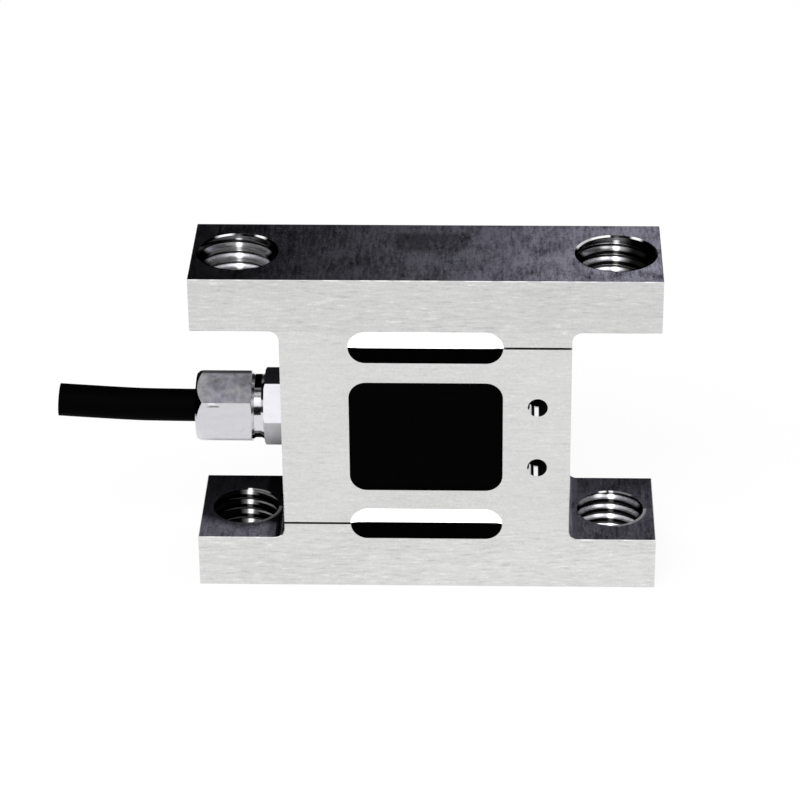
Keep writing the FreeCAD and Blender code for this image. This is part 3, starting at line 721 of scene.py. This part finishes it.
def board_laminate():
    """The terminal board: green mask over copper tracks, pale bare edges."""
    finish = Finish("board_laminate")
    x, _, z = finish.split(finish.place())
    _, into, _ = finish.split(finish.coordinates["Normal"])
    flat = abs(into).eased(0.6, 0.8)
    tracks = (z * 2.85).sine().eased(0.55, 0.75) * (x * 1.9).sine().eased(-0.4, -0.2)
    fibre = finish.speckle(5.0, 2.0, 0.6)
    mask = finish.mix(tracks, (0.012, 0.10, 0.035), (0.03, 0.20, 0.06))
    edge = finish.shade((0.55, 0.50, 0.30), 0.8 + fibre * 0.4)
    return finish.surface(
        Base_Color=finish.mix(flat, edge, mask), Roughness=0.3 + fibre * 0.15,
        Normal=finish.bump(tracks + fibre * 0.1, 0.03 * MM, 0.6))


def gauge_film():
    """A foil gauge: amber film with the fine turns of the grid."""
    finish = Finish("gauge_film")
    x, y, _ = finish.split(finish.place())
    middle, half_grid = 6.3, 1.7
    grid = (y * 14.0).sine().eased(-0.2, 0.2) * (abs(abs(x) - middle) < half_grid)
    film = finish.speckle(1.2, 2.0, 0.5)
    amber = finish.shade((0.62, 0.34, 0.07), 0.85 + film * 0.3)
    return finish.surface(
        Base_Color=finish.mix(grid, amber, (0.30, 0.27, 0.25)), Roughness=0.3 + film * 0.15,
        Normal=finish.bump(grid, 0.01 * MM, 0.5))


def resistor_ceramic():
    """A chip resistor: black glaze between tinned ends."""
    finish = Finish("resistor_ceramic")
    x, _, _ = finish.split(finish.place())
    middle, half_glaze = 4.0, 0.7
    ends = abs(x - middle) > half_glaze
    glaze = finish.speckle(4.0, 2.0, 0.5)
    dark = finish.shade((0.02, 0.02, 0.022), 0.8 + glaze * 0.4)
    return finish.surface(
        Base_Color=finish.mix(ends, dark, (0.75, 0.75, 0.74)), Metallic=ends,
        Roughness=0.22 + glaze * 0.12, Normal=finish.bump(glaze, 0.01 * MM, 0.4))


# --- making pieces --------------------------------------------------------------------------------

def add_mesh(name, shape, material):
    """Make the shape an object of the scene, with its material."""
    mesh = bpy.data.meshes.new(name)
    shape.to_mesh(mesh)
    shape.free()
    mesh.materials.append(material)
    added = bpy.data.objects.new(name, mesh)
    bpy.context.scene.collection.objects.link(added)
    return added


def add_piece(name, shape, finish):
    """Make the shape a piece of the object, smooth where its faces meet at a small angle."""
    bmesh.ops.recalc_face_normals(shape, faces=shape.faces)
    piece = add_mesh(name, shape, finish)
    piece.data.polygons.foreach_set("use_smooth", [True] * len(piece.data.polygons))
    piece.data.set_sharp_from_angle(angle=SMOOTH_BELOW)
    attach(piece, BODY)
    return piece


def coat(finish, *nodes):
    """Give solids of the frame a finish."""
    for node in nodes:
        for slot in frame["nodes"][node].material_slots:
            slot.material = finish


def everything(shape):
    """All of a shape's parts, for an operator that takes them."""
    return shape.verts[:] + shape.edges[:] + shape.faces[:]


def outline(section):
    """A closed outline of radii and heights, ready to be spun about the Z axis."""
    shape = bmesh.new()
    verts = [shape.verts.new((radius, 0.0, level)) for radius, level in section]
    edges = [shape.edges.new((verts[i], verts[(i + 1) % len(verts)])) for i in range(len(verts))]
    return shape, verts + edges


def thread_ridge(root, pitch, low, high, steps, mouth, begin=0.0):
    """The ridge of an inside thread about the Z axis, cut square at its low and its high end.

    The mouth is the radius of a 45 degree lead-in cone at the high end; begin moves the ridge.
    """
    crest = root - THREAD_DEPTH * pitch
    outside = root + 0.03 * MM
    flank = (root - crest) * math.tan(FLANK_ANGLE)
    land = pitch / 4
    start = low - 2 * pitch + begin
    shape, section = outline([
        (outside, start), (crest, start + flank), (crest, start + (flank + land)),
        (outside, start + (2 * flank + land)),
    ])
    turns = (high - low) / pitch + 2.5
    count = round(turns * steps)
    bmesh.ops.spin(
        shape, geom=section, cent=(0, 0, 0), axis=(0, 0, 1),
        dvec=(0, 0, pitch / steps), angle=FULL_TURN * count / steps, steps=count)
    for level, outward in ((low, -1), (high, 1)):
        cut = bmesh.ops.bisect_plane(
            shape, geom=everything(shape), plane_co=(0, 0, level), plane_no=(0, 0, outward),
            clear_outer=True)
        rim = [item for item in cut["geom_cut"] if isinstance(item, bmesh.types.BMEdge)]
        cap = bmesh.ops.holes_fill(shape, edges=rim)
        bmesh.ops.triangulate(shape, faces=cap["faces"])
    for vert in shape.verts:
        cone = min(mouth - (high - vert.co.z), outside)
        radius = math.hypot(vert.co.x, vert.co.y)
        if radius < cone:
            vert.co.x *= cone / radius
            vert.co.y *= cone / radius
    return shape


def plain_ring(inner, outer, low, high, steps):
    """A square ring about the Z axis."""
    shape, section = outline([(inner, low), (outer, low), (outer, high), (inner, high)])
    bmesh.ops.spin(
        shape, geom=section, cent=(0, 0, 0), axis=(0, 0, 1), angle=FULL_TURN, steps=steps,
        use_merge=True)
    return shape


def place_thread(shape, mount):
    """Move a thread made about +Z to the mount's axis, its mouth towards the mount's direction."""
    axis = Vector(mount["axis"])
    turn = Vector((0, 0, 1)).rotation_difference(axis).to_matrix().to_4x4()
    bmesh.ops.transform(
        shape, matrix=Matrix.Translation(mount["pos_m"]) @ turn, verts=shape.verts)
    return shape


# --- operators ------------------------------------------------------------------------------------

class CELL_OT_stage(bpy.types.Operator):
    """Set up the camera, the pale floor and the soft light"""
    bl_idname = "cell.stage"
    bl_label = "Stage"

    def execute(self, context):
        settings = context.scene.cell_stage
        self.add_camera(context, settings)
        self.add_floor(settings)
        self.add_canopy()
        self.add_card_behind()
        self.add_card_in_front()
        self.light_room(context, settings)
        self.add_soft_box(context, settings)
        context.scene.view_settings.view_transform = "Standard"
        return {"FINISHED"}

    def add_camera(self, context, settings):
        turn, drop, roll = settings.azimuth, settings.elevation, settings.roll
        forward = Vector((
            -math.sin(turn) * math.cos(drop), math.cos(turn) * math.cos(drop), -math.sin(drop)
        ))
        right = forward.cross(Vector((0, 0, 1))).normalized()
        upward = right.cross(forward)
        leaned_right = right * math.cos(roll) + upward * math.sin(roll)
        leaned_up = upward * math.cos(roll) - right * math.sin(roll)
        axes = Matrix((leaned_right, leaned_up, -forward)).transposed().to_4x4()
        place = Vector(settings.aim) - forward * settings.distance
        camera = bpy.data.objects.new("camera", bpy.data.cameras.new("camera"))
        camera.data.lens = settings.focal_length
        camera.matrix_world = Matrix.Translation(place) @ axes
        context.scene.collection.objects.link(camera)
        context.scene.camera = camera

    def add_sheet(self, name, width, height, matrix, material):
        """A flat sheet of the stage, where the matrix puts it."""
        shape = bmesh.new()
        bmesh.ops.create_grid(shape, x_segments=1, y_segments=1, size=0.5)
        bmesh.ops.scale(shape, vec=(width, height, 1), verts=shape.verts)
        bmesh.ops.transform(shape, matrix=matrix, verts=shape.verts)
        return self.add_stage_mesh(name, shape, material)

    def add_stage_mesh(self, name, shape, material):
        sheet = add_mesh(name, shape, material)
        return sheet

    def add_floor(self, settings):
        """A white floor that keeps the object's shadow, to the eye and in the metal alike."""
        finish = Finish("floor_paper")
        paper = finish.node("ShaderNodeBsdfDiffuse", None, {"Color": (0.9, 0.9, 0.9)})["BSDF"]
        white = finish.node("ShaderNodeEmission", None, {"Color": WHITE, "Strength": 1.0})
        share = finish.seen() * (1.0 - settings.floor_shadow)
        blend = finish.node(
            "ShaderNodeMixShader", None, {0: share, 1: paper, 2: white["Emission"]})
        finish.node("ShaderNodeOutputMaterial", None, {"Surface": blend["Shader"]})
        size = settings.floor_size
        self.add_sheet("floor", size, size, Matrix(), finish.material)

    def add_canopy(self):
        """The dark studio that only the metal sees, with a soft box in front and one overhead."""
        finish = Finish("canopy")
        x, y, z = finish.split(finish.coordinates["Object"])
        pitch = z.angle(y * -1.0) * (180 / math.pi)
        front_box = pitch.between(30.0, 56.0, 5.0) * (1.0 - abs(x).eased(0.75, 0.95))
        overhead = pitch.between(56.0, 64.0, 18.0) * (1.0 - abs(x).eased(0.45, 0.7))
        glow = 0.006 + front_box * 1.15 + overhead * 0.30
        shape = bmesh.new()
        bmesh.ops.create_uvsphere(shape, u_segments=48, v_segments=32, radius=1.0)
        bmesh.ops.bisect_plane(
            shape, geom=everything(shape), plane_co=(0, 0, 0.03), plane_no=(0, 0, -1),
            clear_outer=True)
        light = finish.light_up(finish.shade((1.0, 0.99, 1.0), glow))
        self.keep_from_camera(self.add_stage_mesh("canopy", shape, light))

    def add_card_behind(self):
        """The card whose light the tops of both bars mirror."""
        finish = Finish("card_behind")
        x, _, z = finish.split(finish.place())
        over_bar = ((x + 40.0) / 74.0).clamped() ** 2.0 * 0.275 + x.eased(6, 20) * 0.03
        over_bar = over_bar + x.eased(-40, -22) * 0.018
        at_front = z.eased(65, 71)
        over_tabs = at_front * 0.37 + x.eased(-10, 10) * (0.048 - at_front * 0.32)
        glow = 0.001 + over_bar * z.eased(90, 96) + over_tabs * (1.0 - z.eased(75, 80))
        light = finish.light_up(finish.shade((0.94, 0.92, 1.15), glow))
        self.add_card("card_behind", 0.40, 0.18, (0.0, 0.10, 0.12), light)

    def add_card_in_front(self):
        """The nearly black card in front, for faces that lean back a little."""
        finish = Finish("card_in_front")
        dust = finish.speckle(0.1)
        light = finish.light_up(finish.shade(WHITE, dust * 0.02))
        self.add_card("card_in_front", 0.9, 0.140, (0.0, -0.27, 0.073), light)

    def add_card(self, name, width, height, place, material):
        """An upright card that only the metal sees."""
        matrix = Matrix.Translation(place) @ Matrix.Rotation(math.radians(90), 4, "X")
        self.keep_from_camera(self.add_sheet(name, width, height, matrix, material))

    def keep_from_camera(self, card):
        card.visible_camera = False
        card.visible_diffuse = False
        card.visible_shadow = False
        card.visible_transmission = False

    def light_room(self, context, settings):
        """White to the eye and in the metal, and a plain even light for all else."""
        context.scene.world = bpy.data.worlds.new("room")
        room = Finish("room", context.scene.world)
        strength = room.seen() * (1.0 - settings.room_light) + settings.room_light
        light = room.node("ShaderNodeBackground", None, {"Color": WHITE, "Strength": strength})
        room.node("ShaderNodeOutputWorld", None, {"Surface": light["Background"]})

    def add_soft_box(self, context, settings):
        box = bpy.data.lights.new("soft_box", "AREA")
        box.shape = "RECTANGLE"
        box.size = 0.9
        box.size_y = 0.45
        box.energy = settings.key_light
        lamp = bpy.data.objects.new("soft_box", box)
        place = Vector((-0.25, -0.75, 0.95))
        aim = (Vector(settings.aim) - place).to_track_quat("-Z", "Y").to_matrix().to_4x4()
        lamp.matrix_world = Matrix.Translation(place) @ aim
        context.scene.collection.objects.link(lamp)


class CELL_OT_cable(bpy.types.Operator):
    """Lay the cable on its route and finish its screen and cores"""
    bl_idname = "cell.cable"
    bl_label = "Cable"

    def execute(self, context):
        settings = context.scene.cell_cable
        curve = bpy.data.curves.new("cable", "CURVE")
        curve.dimensions = "3D"
        curve.bevel_depth = settings.diameter / 2
        curve.bevel_resolution = 14
        curve.use_fill_caps = False
        line = curve.splines.new("NURBS")
        line.points.add(len(CABLE_ROUTE) - 1)
        for point, place in zip(line.points, CABLE_ROUTE):
            point.co = (*place, 1.0)
        line.order_u = 3
        line.use_endpoint_u = True
        line.resolution_u = 24
        line.use_smooth = True
        curve.materials.append(rubber_sheath())
        cable = bpy.data.objects.new("cable", curve)
        context.scene.collection.objects.link(cable)
        wall = cable.modifiers.new("wall", "SOLIDIFY")
        wall.thickness = settings.wall
        wall.offset = -1
        wall.use_rim = True
        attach(cable, BODY)
        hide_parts("cable_jacket")
        coat(woven_braid(), "cable_shield")
        coat(bare_copper(), "core_conductors")
        for core, colour in CORE_COLOURS.items():
            coat(insulation(f"{core}_skin", colour), core)
        return {"FINISHED"}


class CELL_OT_flexure(bpy.types.Operator):
    """Finish the machined body"""
    bl_idname = "cell.flexure"
    bl_label = "Machined body"

    def execute(self, context):
        coat(ground_steel(), "flexure_body")
        return {"FINISHED"}


class CELL_OT_threads(bpy.types.Operator):
    """Cut the threads of the four bar holes and the two small holes"""
    bl_idname = "cell.threads"
    bl_label = "Threads"

    def execute(self, context):
        settings = context.scene.cell_thread
        self.add_bar_threads(settings, thread_steel(), bpy.data.materials["ground_steel"])
        self.add_small_threads(settings, blind_thread_steel())
        return {"FINISHED"}

    def add_bar_threads(self, settings, finish, lip_finish):
        for name, start in THREAD_STARTS.items():
            mount = MOUNTS[f"{name}_thread"]
            outer = BODY_HIGH.z if mount["axis"][2] > 0 else BODY_LOW.z
            high = abs(outer - mount["pos_m"][2])
            low = high - BAR_HEIGHT
            lip_top = low + settings.lip_height
            shape = thread_ridge(
                THREAD_ROOT, settings.pitch, lip_top, high, settings.steps,
                mouth=settings.mouth_radius, begin=start * MM)
            add_piece(f"{name}_thread", place_thread(shape, mount), finish)
            lip = plain_ring(
                settings.lip_radius, THREAD_ROOT + 0.01 * MM, low, lip_top, settings.steps)
            add_piece(f"{name}_lip", place_thread(lip, mount), lip_finish)

    def add_small_threads(self, settings, finish):
        pair = MOUNTS["small_threads"]
        root = pair["dims"]["hole_r_mm"] * MM
        spacing = pair["dims"]["spacing_y_mm"] * MM
        for name, side in (("upper", 0.5), ("lower", -0.5)):
            shape = thread_ridge(
                root, settings.small_pitch, -SMALL_THREAD_DEPTH, 0.0, settings.steps // 2,
                mouth=root + 0.05 * MM)
            place = Vector(pair["pos_m"]) + Vector((0, 0, side * spacing))
            mount = {"axis": pair["axis"], "pos_m": place}
            add_piece(f"small_{name}_thread", place_thread(shape, mount), finish)


class CELL_OT_gland(bpy.types.Operator):
    """Finish the gland and its seals"""
    bl_idname = "cell.gland"
    bl_label = "Gland"

    def execute(self, context):
        coat(turned_nickel(), "gland_body", "gland_nut", "gland_washer")
        coat(moulded_rubber(), "gland_seal", "gland_o_ring")
        return {"FINISHED"}


class CELL_OT_potting(bpy.types.Operator):
    """Pour the compound that fills the window"""
    bl_idname = "cell.potting"
    bl_label = "Potting"

    def execute(self, context):
        settings = context.scene.cell_potting
        size = FILL_HIGH - FILL_LOW
        centre = (FILL_HIGH + FILL_LOW) / 2
        shape = bmesh.new()
        bmesh.ops.create_cube(shape, size=1.0)
        bmesh.ops.scale(shape, vec=size, verts=shape.verts)
        uprights = [
            edge for edge in shape.edges
            if abs(edge.verts[0].co.y - edge.verts[1].co.y) > size.y / 2
        ]
        bmesh.ops.bevel(
            shape, geom=uprights, offset=settings.corner, offset_type="OFFSET", segments=10,
            profile=0.5, affect="EDGES", material=-1)
        self.sink_faces(shape, settings.creep)
        bmesh.ops.translate(shape, vec=centre, verts=shape.verts)
        piece = add_piece("potting_compound", shape, cast_compound())
        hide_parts("cavity_potting")
        return {"FINISHED"}

    def outer_face(self, shape, side):
        return max(shape.faces, key=lambda face: side * face.calc_center_median().y)

    def sink_faces(self, shape, creep):
        """Draw each face in by rings that fall away from the wall, as the compound shrinks."""
        ripples = 900
        rings = ((0.2, 0.5), (0.35, 0.3), (0.6, 0.14), (0.8, 0.06))
        for side in (-1, 1):
            face = self.outer_face(shape, side)
            bmesh.ops.subdivide_edges(
                shape, edges=[edge for edge in face.edges if edge.calc_length() > 2 * MM],
                cuts=30, use_grid_fill=False)
            face = self.outer_face(shape, side)
            for vert in face.verts:
                wave = noise.noise(Vector((vert.co.x, side, vert.co.z)) * ripples)
                vert.co.y += side * creep * (0.45 + 0.5 * wave)
            for width, share in rings:
                bmesh.ops.inset_region(shape, faces=[face], thickness=width * MM, depth=0.0)
                for vert in face.verts:
                    vert.co.y -= side * creep * share


class CELL_OT_electrics(bpy.types.Operator):
    """Finish the gauges, the terminal board and what is soldered to it"""
    bl_idname = "cell.electrics"
    bl_label = "Gauges and board"

    def execute(self, context):
        gauges = [name for name in frame["nodes"] if name.startswith("strain_gauge")]
        coat(gauge_film(), *gauges)
        coat(board_laminate(), "terminal_board")
        coat(resistor_ceramic(), "span_resistor_upper", "zero_resistor", "span_resistor_lower")
        coat(soldered_tin(), "solder_joints")
        coat(bpy.data.materials["bare_copper"], "gauge_leads")
        return {"FINISHED"}


class CELL_PT_panel(bpy.types.Panel):
    """The load cell's pieces and sizes"""
    bl_idname = "CELL_PT_panel"
    bl_label = "Load cell"
    bl_space_type = "VIEW_3D"
    bl_region_type = "UI"
    bl_category = "Load cell"

    def draw(self, context):
        for operator in OPERATORS:
            self.layout.operator(operator.bl_idname)
        for name, group in SETTINGS.items():
            box = self.layout.box()
            for setting in group.__annotations__:
                box.prop(getattr(context.scene, name), setting)


OPERATORS = (
    CELL_OT_stage, CELL_OT_cable, CELL_OT_flexure, CELL_OT_threads, CELL_OT_gland,
    CELL_OT_potting, CELL_OT_electrics,
)


def register():
    for group in SETTINGS.values():
        bpy.utils.register_class(group)
    for operator in OPERATORS:
        bpy.utils.register_class(operator)
    bpy.utils.register_class(CELL_PT_panel)
    for name, group in SETTINGS.items():
        setattr(bpy.types.Scene, name, PointerProperty(type=group))


def unregister():
    for name in SETTINGS:
        delattr(bpy.types.Scene, name)
    bpy.utils.unregister_class(CELL_PT_panel)
    for operator in reversed(OPERATORS):
        bpy.utils.unregister_class(operator)
    for group in reversed(SETTINGS.values()):
        bpy.utils.unregister_class(group)


def main():
    register()
    for operator in OPERATORS:
        family, name = operator.bl_idname.split(".")
        getattr(getattr(bpy.ops, family), name)()


if __name__ == "__main__":
    main()
